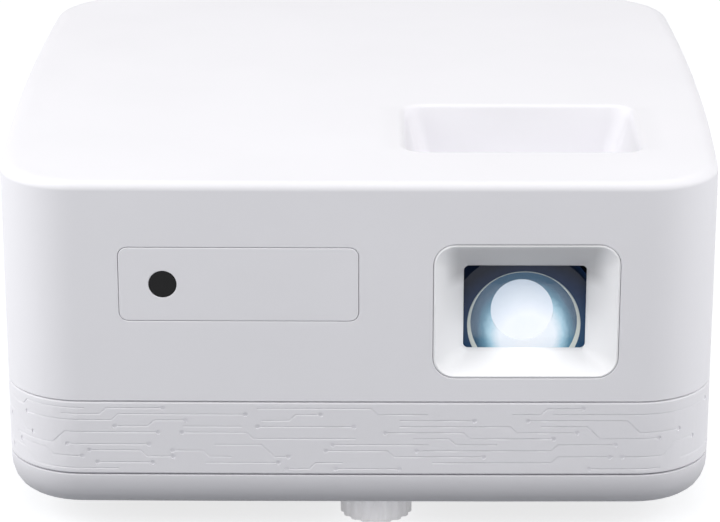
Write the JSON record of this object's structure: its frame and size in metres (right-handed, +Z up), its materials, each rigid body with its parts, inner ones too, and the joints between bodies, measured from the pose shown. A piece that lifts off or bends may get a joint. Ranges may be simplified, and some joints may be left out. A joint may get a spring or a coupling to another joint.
{
  "type": "projector with disc drive",
  "caption": "Compact square LED projector with a recessed lens, a finger recess over its focus ring, an adjustable front foot and a slim disc drive that loads from the left side.",
  "frame": {"origin": "on the floor, under the middle of the body", "axes": "+X to the right seen from the front, +Y from the lens side to the rear, +Z up"},
  "size_m": [0.218, 0.216, 0.112],
  "materials": {
    "shell_white": "fine satin moulded shell",
    "bezel_white": "satin moulded funnel",
    "knob_white": "fluted satin plastic",
    "band_grey": "satin plastic with a fine engraved relief",
    "panel_grey": "satin inlay",
    "base_grey": "satin moulded tray",
    "button_grey": "satin button",
    "sensor_black": "glossy dark infrared window",
    "io_black": "fine textured port panel",
    "lens_black": "black lens mount with a knurled ring",
    "fan_black": "moulded fan frame",
    "fan_grey": "moulded rotor",
    "rubber_feet": "matt rubber",
    "rubber_cone": "speaker cone",
    "black_plastic": "moulded black plastic",
    "key_metal": "spun metal key",
    "key_rubber": "soft key",
    "steel": "plated sheet and turned steel",
    "brass": "turned brass",
    "aluminium": "cast and extruded aluminium",
    "frame_grey": "glass-filled plastic frame",
    "copper": "copper",
    "lens_glass": "coated optical glass",
    "mirror": "front-silvered mirror",
    "board_green": "solder-masked circuit board"
  },
  "bodies": {
    "root": {"top_cover": "shell_white", "mid_band": "band_grey", "base_tray": "base_grey", "sensor_panel": "panel_grey", "sensor_window": "sensor_black", "ir_receiver": "black_plastic", "lens_bezel": "bezel_white", "io_panel": "io_black", "case_screws": "steel", "rear_feet": "rubber_feet", "foot_nut": "brass", "tripod_insert": "brass", "speaker_box": "black_plastic", "speaker_cone": "rubber_cone", "lens_barrel": "lens_black", "engine_housing": "aluminium", "engine_lid": "aluminium", "prism": "lens_glass", "imager": "board_green", "fold_mirrors": "mirror", "dichroic_plates": "lens_glass", "engine_lenses": "lens_glass", "led_boards": "copper", "sink_base": "aluminium", "sink_fins": "aluminium", "heat_pipes": "copper", "exhaust_fan_frame": "fan_black", "intake_fan_frame": "fan_black", "mid_frame": "frame_grey", "frame_legs": "frame_grey", "main_board": "board_green", "board_chips": "black_plastic", "hdmi_ports": "steel", "usb_port": "steel", "dc_jack": "black_plastic", "audio_jack": "black_plastic", "key_board": "board_green", "drive_chassis": "steel", "drive_cover": "steel"},
    "foot_pad": {"foot_pad": "rubber_feet"},
    "foot_wheel": {"foot_knob": "knob_white", "foot_screw": "steel"},
    "focus_ring": {"focus_ring": "lens_black"},
    "lens_cell": {"lens_cell": "lens_black", "front_lens": "lens_glass", "inner_lens": "lens_glass"},
    "exhaust_rotor": {"exhaust_fan_rotor": "fan_grey"},
    "intake_rotor": {"intake_fan_rotor": "fan_grey"},
    "power_key": {"key_power": "key_metal"},
    "source_key": {"key_source": "key_rubber"},
    "menu_key": {"key_menu": "key_rubber"},
    "rails": {"tray_rails": "steel"},
    "tray": {"disc_tray": "black_plastic", "tray_bezel": "band_grey", "motor_deck": "steel", "guide_rods": "steel"},
    "eject_button": {"eject_button": "button_grey"},
    "spindle": {"spindle_hub": "black_plastic"},
    "sled": {"laser_sled": "black_plastic"},
    "lead_screw": {"lead_screw": "steel"}
  },
  "joints": [
    {"name": "foot_extend", "type": "slide", "parent": "root", "child": "foot_pad", "axis": [0, 0, -1], "range_m": [0, 0.01]},
    {"name": "foot_turn", "type": "hinge", "parent": "foot_pad", "child": "foot_wheel", "pos_m": [0.0053, -0.089, 0.005], "axis": [0, 0, 1], "range_deg": [0, 2401]},
    {"name": "focus_turn", "type": "hinge", "parent": "root", "child": "focus_ring", "pos_m": [0.0494, -0.054, 0.063], "axis": [0, 1, 0], "range_deg": [-30, 30]},
    {"name": "lens_shift", "type": "slide", "parent": "root", "child": "lens_cell", "axis": [0, 1, 0], "range_m": [-0.0012, 0.0012]},
    {"name": "exhaust_spin", "type": "hinge", "parent": "root", "child": "exhaust_rotor", "pos_m": [0.0494, 0.0959, 0.07548], "axis": [0, 1, 0], "continuous": true},
    {"name": "intake_spin", "type": "hinge", "parent": "root", "child": "intake_rotor", "pos_m": [-0.0986, 0.02, 0.077], "axis": [1, 0, 0], "continuous": true},
    {"name": "power_press", "type": "slide", "parent": "root", "child": "power_key", "axis": [0, -1, 0], "range_m": [0, 0.0008], "stiffness_N_per_m": 1500, "springref_m": -0.0003},
    {"name": "source_press", "type": "slide", "parent": "root", "child": "source_key", "axis": [0, -1, 0], "range_m": [0, 0.0008], "stiffness_N_per_m": 1500, "springref_m": -0.0003},
    {"name": "menu_press", "type": "slide", "parent": "root", "child": "menu_key", "axis": [0, -1, 0], "range_m": [0, 0.0008], "stiffness_N_per_m": 1500, "springref_m": -0.0003},
    {"name": "tray_slide", "type": "slide", "parent": "root", "child": "tray", "axis": [-1, 0, 0], "range_m": [0, 0.122]},
    {"name": "rail_slide", "type": "slide", "parent": "root", "child": "rails", "axis": [-1, 0, 0], "range_m": [0, 0.061]},
    {"name": "eject_press", "type": "slide", "parent": "tray", "child": "eject_button", "axis": [1, 0, 0], "range_m": [0, 0.0007], "stiffness_N_per_m": 1500, "springref_m": -0.0003},
    {"name": "disc_spin", "type": "hinge", "parent": "tray", "child": "spindle", "pos_m": [-0.043, 0, 0.033], "axis": [0, 0, 1], "continuous": true},
    {"name": "sled_slide", "type": "slide", "parent": "tray", "child": "sled", "axis": [1, 0, 0], "range_m": [0, 0.031]},
    {"name": "lead_turn", "type": "hinge", "parent": "tray", "child": "lead_screw", "pos_m": [0, 0.024, 0.0304], "axis": [1, 0, 0], "range_deg": [0, 3721]}
  ],
  "couplings": [
    {"joint": "foot_turn", "follows": "foot_extend", "rad_per_m": 4188.8},
    {"joint": "focus_turn", "follows": "lens_shift", "rad_per_m": 436.2},
    {"joint": "rail_slide", "follows": "tray_slide", "ratio": 0.5},
    {"joint": "lead_turn", "follows": "sled_slide", "rad_per_m": 2094.4}
  ]
}
